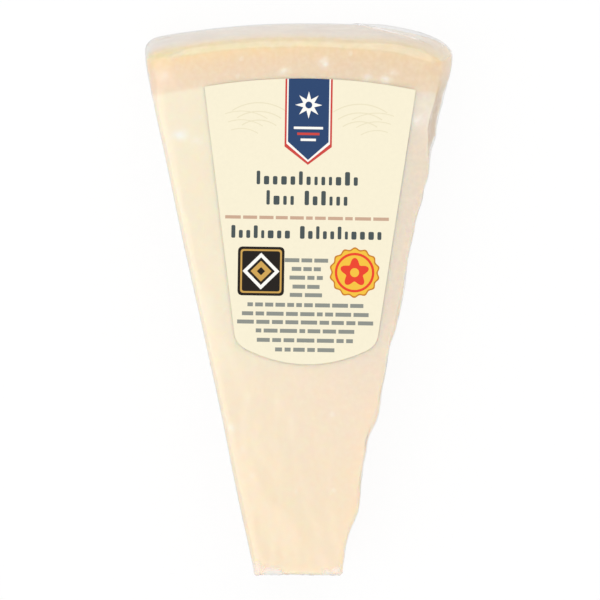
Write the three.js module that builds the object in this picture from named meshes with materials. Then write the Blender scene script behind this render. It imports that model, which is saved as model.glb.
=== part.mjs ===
// A retail wedge of hard, aged cheese in a tight clear film, lying on its back cut face with a
// paper label stuck on the front.
// Millimetres, +Z up. The rind end points to +Y and the cut tip to -Y. The origin is on the surface
// that the wedge lies on, at the centre of its bounding box.
//
// The wedge is a slice of a sector of a cheese wheel: two radial side cuts that would meet at the
// wheel's axis, a front and a back cut across the axis, the wheel's bulging rind at one end and a
// plain cut near the axis at the other. Film and cheese are one solid here.

import * as THREE from "three";
import { mergeVertices } from "three/addons/utils/BufferGeometryUtils.js";

// Wheel and cuts
const WHEEL_RADIUS = 219.5; // at the fattest part of the rind, which is the back cut
const RIND_BULGE = 4.2; // how much smaller the radius is at the front cut
const TIP_DISTANCE = 59.5; // from the wheel's axis to the tip's cut
const HALF_ANGLE = THREE.MathUtils.degToRad(12.1); // between the wedge's middle and each side cut
const THICKNESS = 36; // between the back and front cuts

// Rounded edges, as the film draws them
const LONG_EDGE_ROUND = 1.8; // between the front or back and the sides
const RIND_EDGE_ROUND = 3.4; // between the front or back and the rind
const RIND_CORNER_ROUND = { left: 4.8, right: 7.2 }; // between the rind and each side
const TIP_EDGE_ROUND = 1.3; // round the tip's cut
const RIND_BLEND = { from: 16, to: 6 }; // from the rind, where long edges take the rind's rounding

// Broken right-hand side: ledges where a flake came away, each as
// [distance from the wheel's axis, height, length of the slope on the rind side, width of the drop]
const LEDGES = [
  [197, 0.9, 10, 14],
  [166, 0.4, 10, 14],
  [147, 0.8, 5, 12],
  [135, 1.4, 17, 4],
  [108, 1.7, 18, 6],
  [79.5, 1.7, 17, 8],
  [62, 1.1, 7, 4],
];
const LEDGE_LEAN = { reach: 2.2, length: 14 }; // a ledge's sway along the side as it climbs it
const LEDGE_SWELL = { share: 0.25, length: 9 }; // how its height varies on the way
const SIDE_SET_BACK = 0.75; // of the broken side between its ledges, from a clean cut
const SIDE_CHIPS = { depth: 0.7, width: 9 }; // between the ledges
const TIP_CHIPS = { depth: 0.5, width: 6 };

// Worn front right edge near the rind: where it starts and is full, measured from the axis, how
// far it is drawn in, how deep down, and the share of the half width that it leaves alone
const WORN_EDGE = { start: 182, full: 198, inset: 2.3, depth: 14, untouched: 0.5 };

// Slow waves of the clean cuts and the rind, and the film drawn across the right of the rind
const WAVE_LENGTH = 26;
const WAVE_HEIGHT = { left: 0.27, rind: 0.32, front: 0.45 };
const WAVE_SEED = { left: 11.7, rind: 3.1, front: 5.9 };
const FILM_WEB = { from: 14, full: 26, ends: 31, to: 45, proud: 0.8 }; // along x

// The back bellies out by a hair, so the wedge lies on a flat triangle with one corner near the
// tip and two near the rind, and the back's edges stand clear
const BED = {
  tip: 64, // from the axis
  rind: 206,
  halfWidth: 37,
  hollow: 0.01, // of the triangle's middle
  lift: 0.6, // of the back's edges
  margin: 0.12, // share of the triangle's size over which they rise
  curl: 0.7, // power of that rise
};
const EVEN_HOLLOW = 1.5; // brings the hollow's shape to 1 in the triangle's middle

// Paper label, in its own frame: centre line, lengths down from the middle of its top edge
const LABEL = {
  thickness: 0.25,
  gap: 0.1, // to the front of the wedge
  topHalfWidth: 30.4,
  lowHalfWidth: 20.3, // where the sides turn into the bottom curve
  sideLength: 76.6,
  topRadius: 166, // the top edge is an arc that follows the rind
  bottomDrop: 5.7, // of the bottom curve below the ends of the sides
  cornerRadius: 3,
  middle: { x: 3.1, fromAxis: 203.3 }, // of the top edge
  turn: THREE.MathUtils.degToRad(-0.9), // it was stuck on a little askew
};
const LABEL_MARGIN = { flat: 1.6, free: 10 }; // where the front starts to wave, and waves fully

// Grid of the wedge's surface
const LENGTH_STEPS = 42;
const WIDTH_STEPS = 16;
const DEPTH_STEPS = 10;

const length = WHEEL_RADIUS - TIP_DISTANCE;
const halfWidthAt = (l) => (TIP_DISTANCE + l) * Math.tan(HALF_ANGLE);
const smooth = THREE.MathUtils.smoothstep;

// Repeatable noise

function latticeValue(i, j, k) {
  let h = Math.imul(i, 374761393) ^ Math.imul(j, 668265263) ^ Math.imul(k, 2147483647);
  h = Math.imul(h ^ (h >>> 13), 1274126177);
  return ((h ^ (h >>> 16)) >>> 0) / 4294967296;
}

// Smooth noise from -1 to 1, with one lattice cell as its unit of length.
function noise(x, y, z) {
  const cell = [x, y, z].map(Math.floor);
  const [u, v, w] = [x, y, z].map((p, n) => smooth(p - cell[n], 0, 1));
  let sum = 0;
  for (let corner = 0; corner < 8; corner += 1) {
    const [di, dj, dk] = [corner & 1, (corner >> 1) & 1, corner >> 2];
    const weight = (di ? u : 1 - u) * (dj ? v : 1 - v) * (dk ? w : 1 - w);
    sum += weight * latticeValue(cell[0] + di, cell[1] + dj, cell[2] + dk);
  }
  return 2 * sum - 1;
}

// Depth from 0 to 1 of a surface of tilted chips: each point belongs to the nearest of a jittered
// grid of chips, and each chip is a plane of its own.
function chips(p, q) {
  const [ci, cj] = [Math.floor(p), Math.floor(q)];
  let nearest = Infinity;
  let depth = 0;
  for (let i = ci - 1; i <= ci + 1; i += 1) {
    for (let j = cj - 1; j <= cj + 1; j += 1) {
      const dp = p - i - latticeValue(i, j, 1);
      const dq = q - j - latticeValue(i, j, 2);
      const distance = dp * dp + dq * dq;
      if (distance < nearest) {
        nearest = distance;
        const tilt = [latticeValue(i, j, 3) - 0.5, latticeValue(i, j, 4) - 0.5];
        depth = 0.5 * latticeValue(i, j, 5) + 0.7 * (tilt[0] * dp + tilt[1] * dq) + 0.25;
      }
    }
  }
  return depth;
}

// From 0 under the label to 1 well clear of it, for a point of the front face.
function clearOfLabel(x, fromAxis) {
  const { middle, turn, topHalfWidth, lowHalfWidth, sideLength, bottomDrop } = LABEL;
  const [dx, dy] = [x - middle.x, fromAxis - middle.fromAxis];
  const u = dx * Math.cos(turn) + dy * Math.sin(turn);
  const v = dx * Math.sin(turn) - dy * Math.cos(turn);
  const side = THREE.MathUtils.lerp(topHalfWidth, lowHalfWidth, v / sideLength);
  const outside = Math.max(Math.abs(u) - side, -v, v - sideLength - bottomDrop);
  return smooth(outside, LABEL_MARGIN.flat, LABEL_MARGIN.free);
}

// Wedge. Its points are first sideways, lengthways and upwards millimetres, with the length from
// the tip's cut, and are bent to the wheel last.

// Distances of the grid's lines from one end of a span, close together in the rounded edges.
function gridLines(span, firstRound, lastRound, steps) {
  const within = (round) => [0, round * (1 - Math.tan(Math.PI / 8))];
  const middle = span - firstRound - lastRound;
  const even = Array.from({ length: steps + 1 }, (_, i) => firstRound + (middle * i) / steps);
  const last = within(lastRound).map((d) => span - d);
  return [...within(firstRound), ...even, ...last.reverse()];
}

// How far the long edges' rounding has grown into that of the rind's end, from 0 to 1.
const rindShare = (l) => smooth(l, length - RIND_BLEND.from, length - RIND_BLEND.to);

function sideRound(l, corner) {
  return THREE.MathUtils.lerp(LONG_EDGE_ROUND, corner, rindShare(l));
}

// A point of the sharp-edged wedge, drawn in to the rounded edges. The outward direction comes
// back with it.
function roundEdges(q, l, z) {
  const half = halfWidthAt(l);
  const corner = q < 0 ? RIND_CORNER_ROUND.left : RIND_CORNER_ROUND.right;
  const nearSide = smooth(Math.abs(q), half - 2.5 * corner, half - corner);
  const side = sideRound(l, corner);
  const face = THREE.MathUtils.lerp(LONG_EDGE_ROUND, RIND_EDGE_ROUND, rindShare(l));
  const rind = THREE.MathUtils.lerp(RIND_EDGE_ROUND, corner, nearSide);
  const end = l > length / 2 ? rind : TIP_EDGE_ROUND;
  const rounds = new THREE.Vector3(side, end, face);
  const core = new THREE.Vector3(
    THREE.MathUtils.clamp(q, side - half, half - side),
    THREE.MathUtils.clamp(l, end, length - end),
    THREE.MathUtils.clamp(z, face, THICKNESS - face),
  );
  const out = new THREE.Vector3(q, l, z).sub(core).divide(rounds).normalize();
  return { point: core.add(out.clone().multiply(rounds)), out };
}

// How far the broken side stands out of its set-back face.
function ledgeHeight(fromAxis, z) {
  const lean = LEDGE_LEAN.reach * noise(z / LEDGE_LEAN.length, 7.3, 1.9);
  return LEDGES.reduce((sum, [at, height, slope, drop]) => {
    const beyond = fromAxis - at - lean;
    const rise = beyond > 0 ? 1 - smooth(beyond, 0, slope) : 1 - smooth(-beyond, 0, drop);
    const swell = 1 - LEDGE_SWELL.share * (1 - noise(z / LEDGE_SWELL.length, at, 0.5));
    return sum + height * rise * swell;
  }, 0);
}

function waveAt(face, q, l, z) {
  const seed = WAVE_SEED[face];
  return WAVE_HEIGHT[face] * noise(q / WAVE_LENGTH + seed, l / WAVE_LENGTH, z / WAVE_LENGTH);
}

// How far a point of the sides, the tip or the rind moves outwards. It moves level, so that the
// back stays flat.
function levelRelief({ x: q, y: l, z }, out) {
  const chipDepth = ({ depth, width }, along) => depth * chips(along / width, z / width);
  const broken = ledgeHeight(TIP_DISTANCE + l, z) - SIDE_SET_BACK - chipDepth(SIDE_CHIPS, l);
  const webRise = smooth(q, FILM_WEB.from, FILM_WEB.full);
  const web = FILM_WEB.proud * webRise * (1 - smooth(q, FILM_WEB.ends, FILM_WEB.to));
  const outwards =
    Math.max(out.x, 0) * broken * (1 - rindShare(l)) +
    Math.max(-out.x, 0) * waveAt("left", q, l, z) -
    Math.max(-out.y, 0) * chipDepth(TIP_CHIPS, q) +
    Math.max(out.y, 0) * (waveAt("rind", q, l, z) + web);
  return new THREE.Vector3(out.x, out.y, 0).normalize().multiplyScalar(outwards);
}

// The worn front edge draws the right-hand side in towards the front, near the rind.
function wornInset(q, l, z) {
  const { start, full, inset, depth, untouched } = WORN_EDGE;
  const along = smooth(TIP_DISTANCE + l, start, full);
  const up = smooth(z, THICKNESS - depth, THICKNESS);
  return inset * along * up * smooth(q / halfWidthAt(l), untouched, 1);
}

// From the straight-sided wedge to the part's place, with y from the wheel's axis.
function bendToWheel({ x: q, y: l, z }) {
  const angle = (q / halfWidthAt(l)) * HALF_ANGLE;
  const inner = TIP_DISTANCE / Math.cos(angle);
  const outer = WHEEL_RADIUS - RIND_BULGE * (z / THICKNESS) ** 2;
  const radius = inner + (l / length) * (outer - inner);
  return new THREE.Vector3(radius * Math.sin(angle), radius * Math.cos(angle), z);
}

// How high the back is over what the wedge lies on. The three weights are 1 at their own corner of
// the triangle, 0 along the side across from it, and negative beyond that side.
function backLift(x, fromAxis) {
  const along = (fromAxis - BED.tip) / (BED.rind - BED.tip);
  const across = x / (2 * BED.halfWidth);
  const weights = [1 - along, along / 2 - across, along / 2 + across];
  const beyond = Math.max(0, -Math.min(...weights));
  const hollow = 1 - weights.reduce((sum, w) => sum + w * w, 0);
  const rise = Math.min(1, beyond / BED.margin) ** BED.curl;
  return BED.lift * rise + EVEN_HOLLOW * BED.hollow * Math.max(0, hollow);
}

function wedgeGeometry() {
  const lengthLines = gridLines(length, TIP_EDGE_ROUND, RIND_EDGE_ROUND, LENGTH_STEPS);
  const depthLines = gridLines(THICKNESS, LONG_EDGE_ROUND, LONG_EDGE_ROUND, DEPTH_STEPS);
  const widthCount = gridLines(1, 0, 0, WIDTH_STEPS).length;
  const box = new THREE.BoxGeometry(
    2, 2, 2, widthCount - 1, lengthLines.length - 1, depthLines.length - 1,
  );
  box.deleteAttribute("normal");
  box.deleteAttribute("uv");
  const geometry = mergeVertices(box);
  const place = geometry.getAttribute("position");
  const lineOf = (share, lines) => lines[Math.round(((share + 1) / 2) * (lines.length - 1))];
  for (let i = 0; i < place.count; i += 1) {
    const l = lineOf(place.getY(i), lengthLines);
    const z = lineOf(place.getZ(i), depthLines);
    const half = halfWidthAt(l);
    const { left, right } = RIND_CORNER_ROUND;
    const widthLines = gridLines(2 * half, sideRound(l, left), sideRound(l, right), WIDTH_STEPS);
    const q = lineOf(place.getX(i), widthLines) - half;
    const { point, out } = roundEdges(q, l, z);
    point.add(levelRelief(point, out));
    point.x -= wornInset(point.x, point.y, point.z);
    const bent = bendToWheel(point);
    const dip = Math.max(out.z, 0) * Math.min(waveAt("front", q, l, z), 0);
    const up = dip * clearOfLabel(bent.x, bent.y) + Math.max(-out.z, 0) * backLift(bent.x, bent.y);
    place.setXYZ(i, bent.x, bent.y, bent.z + up);
  }
  geometry.computeVertexNormals();
  return geometry;
}

// Label

function labelGeometry() {
  const { topHalfWidth, lowHalfWidth, sideLength, topRadius, bottomDrop, cornerRadius } = LABEL;
  const sag = topRadius - Math.sqrt(topRadius ** 2 - topHalfWidth ** 2);
  const slope = new THREE.Vector2(lowHalfWidth - topHalfWidth, sag - sideLength).normalize();
  const lowCorner = new THREE.Vector2(lowHalfWidth, -sideLength);
  const beforeCorner = lowCorner.clone().addScaledVector(slope, -cornerRadius);

  // The bottom curve is a parabola through the low corners, and starts inside them.
  const innerX = lowHalfWidth - cornerRadius;
  const innerShare = (innerX / lowHalfWidth) ** 2;
  const afterCorner = new THREE.Vector2(innerX, -sideLength - bottomDrop * (1 - innerShare));
  const lowest = -sideLength - bottomDrop * (1 + innerShare);
  const topAngle = Math.asin(topHalfWidth / topRadius);
  const outline = new THREE.Shape();
  outline.moveTo(topHalfWidth, -sag);
  outline.absarc(0, -topRadius, topRadius, Math.PI / 2 - topAngle, Math.PI / 2 + topAngle, false);
  outline.lineTo(-beforeCorner.x, beforeCorner.y);
  outline.quadraticCurveTo(-lowCorner.x, lowCorner.y, -afterCorner.x, afterCorner.y);
  outline.quadraticCurveTo(0, lowest, afterCorner.x, afterCorner.y);
  outline.quadraticCurveTo(lowCorner.x, lowCorner.y, beforeCorner.x, beforeCorner.y);
  outline.closePath();
  return new THREE.ExtrudeGeometry(outline, {
    depth: LABEL.thickness,
    bevelEnabled: false,
    curveSegments: 16,
  });
}

// Assembly

const cheese = new THREE.MeshStandardMaterial({
  color: 0xf3dfbe,
  roughness: 0.35,
  metalness: 0,
  flatShading: true,
});
const paper = new THREE.MeshStandardMaterial({ color: 0xfaf4da, roughness: 0.6, metalness: 0 });

const wedge = new THREE.Mesh(wedgeGeometry(), cheese);
wedge.name = "packed_wedge";

const label = new THREE.Mesh(labelGeometry(), paper);
label.name = "label";
label.position.set(LABEL.middle.x, LABEL.middle.fromAxis, THICKNESS + LABEL.gap);
label.rotation.z = LABEL.turn;

const part = new THREE.Group();
part.add(wedge, label);

// The origin goes to the bounding box's centre, on the surface that the wedge lies on.
const bounds = new THREE.Box3().setFromObject(part);
const centre = bounds.getCenter(new THREE.Vector3());
part.position.set(-centre.x, -centre.y, -bounds.min.z);

export default part;
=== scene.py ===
# A retail wedge of hard, aged cheese in a tight clear film, with a paper label on its front cut.
# It lies on its back cut, with the rind to +Y and the cut tip to -Y.

import math
import random
from functools import partial

import bmesh
import bpy
import numpy as np
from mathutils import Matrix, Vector, noise
from mathutils.bvhtree import BVHTree
from mathutils.geometry import delaunay_2d_cdt


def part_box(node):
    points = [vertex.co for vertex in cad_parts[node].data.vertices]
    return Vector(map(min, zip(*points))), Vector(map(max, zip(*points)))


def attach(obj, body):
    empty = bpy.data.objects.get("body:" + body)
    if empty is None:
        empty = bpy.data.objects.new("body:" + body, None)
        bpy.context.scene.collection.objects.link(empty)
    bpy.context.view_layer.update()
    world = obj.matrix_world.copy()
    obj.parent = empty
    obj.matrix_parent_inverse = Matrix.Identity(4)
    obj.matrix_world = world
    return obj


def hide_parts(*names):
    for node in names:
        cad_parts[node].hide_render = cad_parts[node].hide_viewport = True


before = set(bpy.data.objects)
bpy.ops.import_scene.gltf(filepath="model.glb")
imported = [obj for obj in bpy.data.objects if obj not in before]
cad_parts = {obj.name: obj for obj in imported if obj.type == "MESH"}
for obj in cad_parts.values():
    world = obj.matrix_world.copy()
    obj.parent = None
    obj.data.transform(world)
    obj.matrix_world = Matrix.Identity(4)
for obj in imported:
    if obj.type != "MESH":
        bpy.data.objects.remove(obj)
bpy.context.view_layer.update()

bl_info = {
    "name": "Packed cheese wedge",
    "version": (1, 0, 0),
    "blender": (4, 5, 0),
    "location": "3D View > Sidebar > Cheese wedge",
    "description": "Builds a film-wrapped wedge of hard cheese with its paper label",
    "category": "Object",
}

# Lengths and places below are in millimetres in the row frame, unless a comment says otherwise
MM = 0.001

# Wheel that the wedge was cut from: its axis stands upright at this point, and its radius is
# largest at the back cut
AXIS = (0.376, -139.452)
WHEEL_RADIUS = 219.5
RIND_BULGE = 4.2
THICKNESS = 36.0
HALF_ANGLE = math.radians(12.1)  # between the wedge's middle and each side cut

# Distances from the axis between which the rind's own features fade in
RIND_END = (203, 210)

# Tip's two upright corners
TIP_CORNERS = ((-12.6, -79.6), (13.7, -79.6))

# Label's own frame: u to the right and v down from the middle of its top edge
LABEL_MIDDLE = (3.476, 63.848)
LABEL_TURN = math.radians(-0.9)


def linear(code):
    """The linear colour of an sRGB hex value such as "#f3dfbe"."""
    parts = [int(code[i : i + 2], 16) / 255 for i in (1, 3, 5)]
    return tuple(p / 12.92 if p <= 0.04045 else ((p + 0.055) / 1.055) ** 2.4 for p in parts)


def shade(colour, factor=1.0):
    """An RGBA colour for a socket or a ramp, from a linear colour or an sRGB hex value."""
    rgb = linear(colour) if isinstance(colour, str) else colour
    return (*(c * factor for c in rgb), 1.0)


# Settings that a user would change

LENGTH = {"unit": "LENGTH", "subtype": "DISTANCE"}
COLOUR = {"subtype": "COLOR", "min": 0, "max": 1}


class PasteSettings(bpy.types.PropertyGroup):
    inset: bpy.props.FloatProperty(
        name="Inset",
        description="Gap from the film's outer face to the cheese",
        default=0.14 * MM,
        **LENGTH,
    )
    crag: bpy.props.FloatProperty(
        name="Crag depth",
        description="Depth of the broken sides' grain",
        default=1.1 * MM,
        **LENGTH,
    )
    paste_colour: bpy.props.FloatVectorProperty(
        name="Paste",
        description="Colour of the cheese at the rind end",
        default=linear("#fdebd2"),
        **COLOUR,
    )
    tip_colour: bpy.props.FloatVectorProperty(
        name="Tip",
        description="Colour of the cheese at the cut tip",
        default=linear("#ffe3c4"),
        **COLOUR,
    )
    # Greyer paste of the broken side: partly drier paste, partly painted shade away from the light
    dry_and_shade_colour: bpy.props.FloatVectorProperty(
        name="Dry paste",
        description="Colour of the cheese along its broken side",
        default=linear("#e7dbc9"),
        **COLOUR,
    )
    rind_colour: bpy.props.FloatVectorProperty(
        name="Rind",
        description="Colour of the rind's skin",
        default=linear("#ebcd9c"),
        **COLOUR,
    )


class FilmSettings(bpy.types.PropertyGroup):
    pleat_height: bpy.props.FloatProperty(
        name="Pleat height",
        description="Height of a pleat whose listed height is 1",
        default=0.55 * MM,
        **LENGTH,
    )
    ripple: bpy.props.FloatProperty(
        name="Ripple",
        description="Depth of the film's soft ripples",
        default=0.06 * MM,
        **LENGTH,
    )
    haze: bpy.props.FloatProperty(
        name="Haze",
        description="Share of light that the flat film scatters",
        default=0.03,
        min=0,
        max=1,
        subtype="FACTOR",
    )


class LabelSettings(bpy.types.PropertyGroup):
    thickness: bpy.props.FloatProperty(
        name="Thickness",
        description="Thickness of the paper with its glue",
        default=0.34 * MM,
        **LENGTH,
    )
    paper_colour: bpy.props.FloatVectorProperty(
        name="Paper",
        description="Colour of the label's paper",
        default=linear("#efe7cd"),
        **COLOUR,
    )
    field_colour: bpy.props.FloatVectorProperty(
        name="Pennant",
        description="Colour of the printed pennant",
        default=linear("#27426b"),
        **COLOUR,
    )
    seal_colour: bpy.props.FloatVectorProperty(
        name="Seal",
        description="Colour of the printed seal",
        default=linear("#e4412a"),
        **COLOUR,
    )


class StageSettings(bpy.types.PropertyGroup):
    distance: bpy.props.FloatProperty(
        name="Camera distance",
        description="From the wedge's front to the camera",
        default=1.4,
        **LENGTH,
    )
    tilt: bpy.props.FloatProperty(
        name="Camera tilt",
        description="Lean of the camera from straight above, towards the rind",
        default=math.radians(3.2),
        unit="ROTATION",
        subtype="ANGLE",
    )
    frame_width: bpy.props.FloatProperty(
        name="Frame width",
        description="Width that the picture shows at the wedge's front",
        default=172.8 * MM,
        **LENGTH,
    )
    key_power: bpy.props.FloatProperty(
        name="Key light",
        description="Power of the soft light on the left",
        default=16.0,
        unit="POWER",
    )


# Shared helpers


def eased(value, start, end):
    """0 at start and 1 at end, eased between them, for a number or an array."""
    share = np.clip((value - start) / (end - start), 0, 1)
    return share * share * (3 - 2 * share)


def band(value, start, full, fading, end):
    """1 from full to fading and 0 outside start and end, eased between them."""
    return eased(value, start, full) * (1 - eased(value, fading, end))


def soft_noise(points, size, octaves, seed):
    """Noise of about -1 to 1 at each point, with lumps of the given size."""
    shift = Vector((seed, 1.7 * seed, -seed))
    return np.array([noise.fractal(Vector(p) / size + shift, 0.8, 2.1, octaves) for p in points])


def facets(points, size, seed):
    """Depth of about 0 to 1 of a surface that broke along tilted grains of the given size."""
    depths = []
    for p in points:
        place = Vector(p) / size + Vector((seed, seed, seed))
        centre = noise.voronoi(place)[1][0]
        tilt = noise.cell_vector(centre * 7.3)
        depths.append(0.5 + 0.6 * (place - centre).dot(tilt) + 0.3 * noise.cell(centre * 3.1))
    return np.array(depths)


def points_of(mesh):
    """The mesh's points, in millimetres, and their normals, as arrays."""
    places = np.zeros(len(mesh.vertices) * 3)
    mesh.vertices.foreach_get("co", places)
    normals = np.zeros(len(mesh.vertices) * 3)
    mesh.vertices.foreach_get("normal", normals)
    return places.reshape(-1, 3) / MM, normals.reshape(-1, 3)


def set_points(mesh, places):
    mesh.vertices.foreach_set("co", (places * MM).ravel())
    mesh.update()


def set_measure(mesh, name, values):
    """A number at each point, for the materials to read."""
    layer = mesh.attributes.new(name, "FLOAT", "POINT")
    layer.data.foreach_set("value", np.asarray(values, np.float32))


def from_axis(places):
    """Distance of each point from the wheel's axis."""
    return np.hypot(places[:, 0] - AXIS[0], places[:, 1] - AXIS[1])


# How far the tip's cut and its corners are drawn out, and the rind's right corner is drawn in
TIP_OUT = 0.2
TIP_CORNER_OUT = 0.45
RIND_CORNER_IN = 0.8

# Waves of the broken side that are smaller than the CAD wedge's: y, and how far the side stands
# out there. They are blurred along y, and below the front edge they sway along it
WALL_WAVES = [
    (-66, 0.0), (-59.5, 0.5), (-54, 0.0), (-42.5, 0.0), (-38.5, -0.7), (-35, 0.1),
    (-27, 0.25), (-22, 0.7), (-18.8, 0.9), (-15, 0.4), (-11.5, 0.0), (0, 0.1),
    (4, 0.4), (7.8, 0.7), (11.5, 0.0), (20, 0.0), (23, -0.3), (26, 0.3),
    (29, 0.9), (32.5, 0.4), (36, 1.1), (39, 0.75), (43.5, 0.2), (45.6, 0.7),
    (48, 0.0), (54, 0.1), (57, 0.6), (61, 0.6), (65, 0.1),
]
WAVE_BLUR = 1.2
WAVE_SWAY = 1.5


def fine_wedge(name):
    """A finely divided, smooth copy of the CAD wedge, with the tip's corners squared up again, the
    rind's right corner slightly flattened and the broken side's smaller waves added."""
    shape = bmesh.new()
    shape.from_mesh(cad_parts["packed_wedge"].data)
    bmesh.ops.remove_doubles(shape, verts=shape.verts, dist=1e-6)
    bmesh.ops.join_triangles(
        shape, faces=shape.faces, angle_face_threshold=0.7, angle_shape_threshold=0.7
    )
    mesh = bpy.data.meshes.new(name)
    shape.to_mesh(mesh)
    shape.free()
    piece = bpy.data.objects.new(name, mesh)
    bpy.context.scene.collection.objects.link(piece)
    subdivide = piece.modifiers.new("subdivide", "SUBSURF")
    subdivide.levels = 2
    subdivide.render_levels = 2
    bpy.context.view_layer.update()
    evaluated = piece.evaluated_get(bpy.context.evaluated_depsgraph_get())
    fine = bpy.data.meshes.new_from_object(evaluated)
    piece.modifiers.clear()
    piece.data = fine
    bpy.data.meshes.remove(mesh)
    fine.name = name
    fine.materials.clear()
    fine.shade_smooth()

    places, normals = points_of(fine)
    at_tip = -normals[:, 1]
    corner = eased(at_tip, 0.1, 0.6) * eased(np.abs(normals[:, 0]), 0.1, 0.6)
    out = TIP_CORNER_OUT * corner + TIP_OUT * eased(at_tip, 0.3, 0.9)
    places += normals * (1, 1, 0) * out[:, None]
    rind_corner = eased(normals[:, 0], 0.05, 0.4) * eased(normals[:, 1], 0.1, 0.5)
    places[:, 1] -= RIND_CORNER_IN * rind_corner
    sway = WAVE_SWAY * soft_noise(places, 9.0, octaves=1, seed=8.0)
    y = places[:, 1] + sway * eased(places[:, 2], THICKNESS, 24)
    waves = sum(np.interp(y + shift, *zip(*WALL_WAVES)) for shift in (-WAVE_BLUR, 0, WAVE_BLUR))
    places[:, 0] += waves / 3 * eased(normals[:, 0], 0.2, 0.7)
    set_points(fine, places)
    return piece


# Sizes of the broken paste's flakes, grains and crumbs
FLAKE = 6.5
GRAIN = 2.7
CRUMB = 1.6


def crag_depth(places):
    """Depth of about 0 to 1 of the broken paste, from its flakes, grains and crumbs."""
    depth = 0.6 * facets(places, FLAKE, seed=0.0) + 0.3 * facets(places, GRAIN, seed=3.0)
    return depth + 0.1 + 0.1 * soft_noise(places, CRUMB, octaves=2, seed=9.0)


def broken_share(places, normals):
    """1 on the broken side and the tip's cut, 0 elsewhere."""
    side = eased(normals[:, 0], 0.25, 0.75) * (1 - eased(from_axis(places), *RIND_END))
    return np.maximum(side, eased(-normals[:, 1], 0.35, 0.8))


def add_node(material, kind, inputs=None, stops=None, output=0, **settings):
    """Add a node with its settings and links, and give the output that is asked for. Each input's
    value is a number, a colour, or the output that it comes from, and stops are a ramp's places and
    colours, from left to right."""
    tree = material.node_tree
    made = tree.nodes.new(kind)
    for name, value in settings.items():
        setattr(made, name, value)
    for name, value in (inputs or {}).items():
        if isinstance(value, bpy.types.NodeSocket):
            tree.links.new(value, made.inputs[name])
        else:
            made.inputs[name].default_value = value
    if stops:
        ramp = made.color_ramp.elements
        ramp.remove(ramp[1])
        for number, (place, colour) in enumerate(stops):
            element = ramp.new(place) if number else ramp[0]
            element.position = place
            element.color = colour
    return made.outputs[output] if made.outputs else None


def new_material(name):
    """An empty material, and the function that adds a node to it."""
    material = bpy.data.materials.new(name)
    material.use_nodes = True
    material.node_tree.nodes.clear()
    return material, partial(add_node, material)


# Cheese

# White patches of the front, each with its place, length along x, length along y and
# strength
WHITE_PATCHES = [
    (-33.8, 47.6, 3.4, 2.4, 1.0),
    (-29.3, 45.9, 2.6, 1.8, 0.6),
    (-4.2, 65.9, 1.9, 1.5, 1.0),
    (7.3, 68.4, 2.2, 2.4, 1.0),
    (19.9, 64.2, 2.0, 1.6, 0.9),
    (25.1, 63.6, 2.6, 1.6, 0.9),
    (27.4, 65.6, 1.6, 1.4, 0.8),
    (34.7, 52.0, 3.4, 3.4, 0.7),
    (37.0, 54.0, 5.6, 11.0, 0.35),
    (-19.3, -36.5, 1.8, 1.8, 0.7),
    (-38.6, 64.5, 3.0, 2.0, 0.4),
]

# Pits of the front, each with its place, length along x, length along y and depth
PITS = [
    (-11.4, -39.6, 1.3, 2.6, 0.35),
    (38.3, 44.6, 1.6, 2.4, 0.6),
    (-24.0, 8.0, 1.4, 1.2, 0.25),
    (9.0, -56.0, 1.2, 1.6, 0.25),
]

# Painted shade: a brown notch in the front's right edge, with its place and lengths, and the
# stretch of the broken side painted browner as shade: y where that starts, is full, fades and ends
NOTCH_SHADE = (38.6, 44.7, 1.4, 3.0)
WALL_SHADE_SPAN = (38, 48, 57, 66)

# How far the cheese lies back where the film bridges the hollow beside its long fold, and the x
# where that starts, is full, fades and ends
BRIDGED_DEPTH = 0.75
BRIDGED = (14, 26, 31, 45)

# Zone under the rind: its colours by depth, as a share of ZONE_DEPTH, the depths between which
# the plain paste takes over, and how the zone wavers
ZONE_DEPTH = 16.0
ZONE_COLOURS = [
    (0.0, "#f0dcb6"),
    (0.02, "#ecd9b6"),
    (0.05, "#e6d5ab"),
    (0.15, "#e4d8ad"),
    (0.22, "#f4daab"),
    (0.40, "#f2d8b4"),
    (0.60, "#f0d9bb"),
    (1.0, "#efdcc3"),
]
ZONE_EDGE = (12.6, 14.2)
WAVER = 8.0
WAVER_DEPTH = 1.4

# The paste warms along y towards the tip, and greys along x towards the broken side, partly
# as drier paste and partly as painted shade away from the light on the left
WARMING = (10.0, -70.0)
DRYING_AND_SHADE = (-32.0, 34.0)

# Sizes of the paste's patterns: its clouds, its granules, its crystal specks and how raggedly
# they are torn, and the rind's blotches and pores
CLOUD = 22.0
GRANULE = 1.5
SPECK_GAP = 6.0
SPECK_SWIRL = 1.2
SPECK_TEAR = 1.6
BLOTCH = 9.0
PORE_GAP = 2.6


def spot(places, x, y, length_x, length_y):
    """1 in the middle of an oval spot on the front, fading to 0 round it."""
    reach_x = (places[:, 0] - x) / (0.5 * length_x)
    reach_y = (places[:, 1] - y) / (0.5 * length_y)
    on_front = eased(places[:, 2], THICKNESS - 6, THICKNESS - 2)
    return np.exp(-0.7 * (reach_x**2 + reach_y**2)) * on_front


def blunt_corners(mesh, normals):
    """Round the upright corners, over the points next to them too."""
    shape = bmesh.new()
    shape.from_mesh(mesh)
    corners = {v for v, n in zip(shape.verts, normals) if min(abs(n[0]), abs(n[1])) > 0.35}
    for _ in range(2):
        corners |= {e.other_vert(v) for v in corners for e in v.link_edges}
    ordered = [v for v in shape.verts if v in corners]
    for _ in range(4):
        bmesh.ops.smooth_vert(shape, verts=ordered, factor=0.5, use_axis_x=True, use_axis_y=True)
    shape.to_mesh(mesh)
    shape.free()


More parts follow.
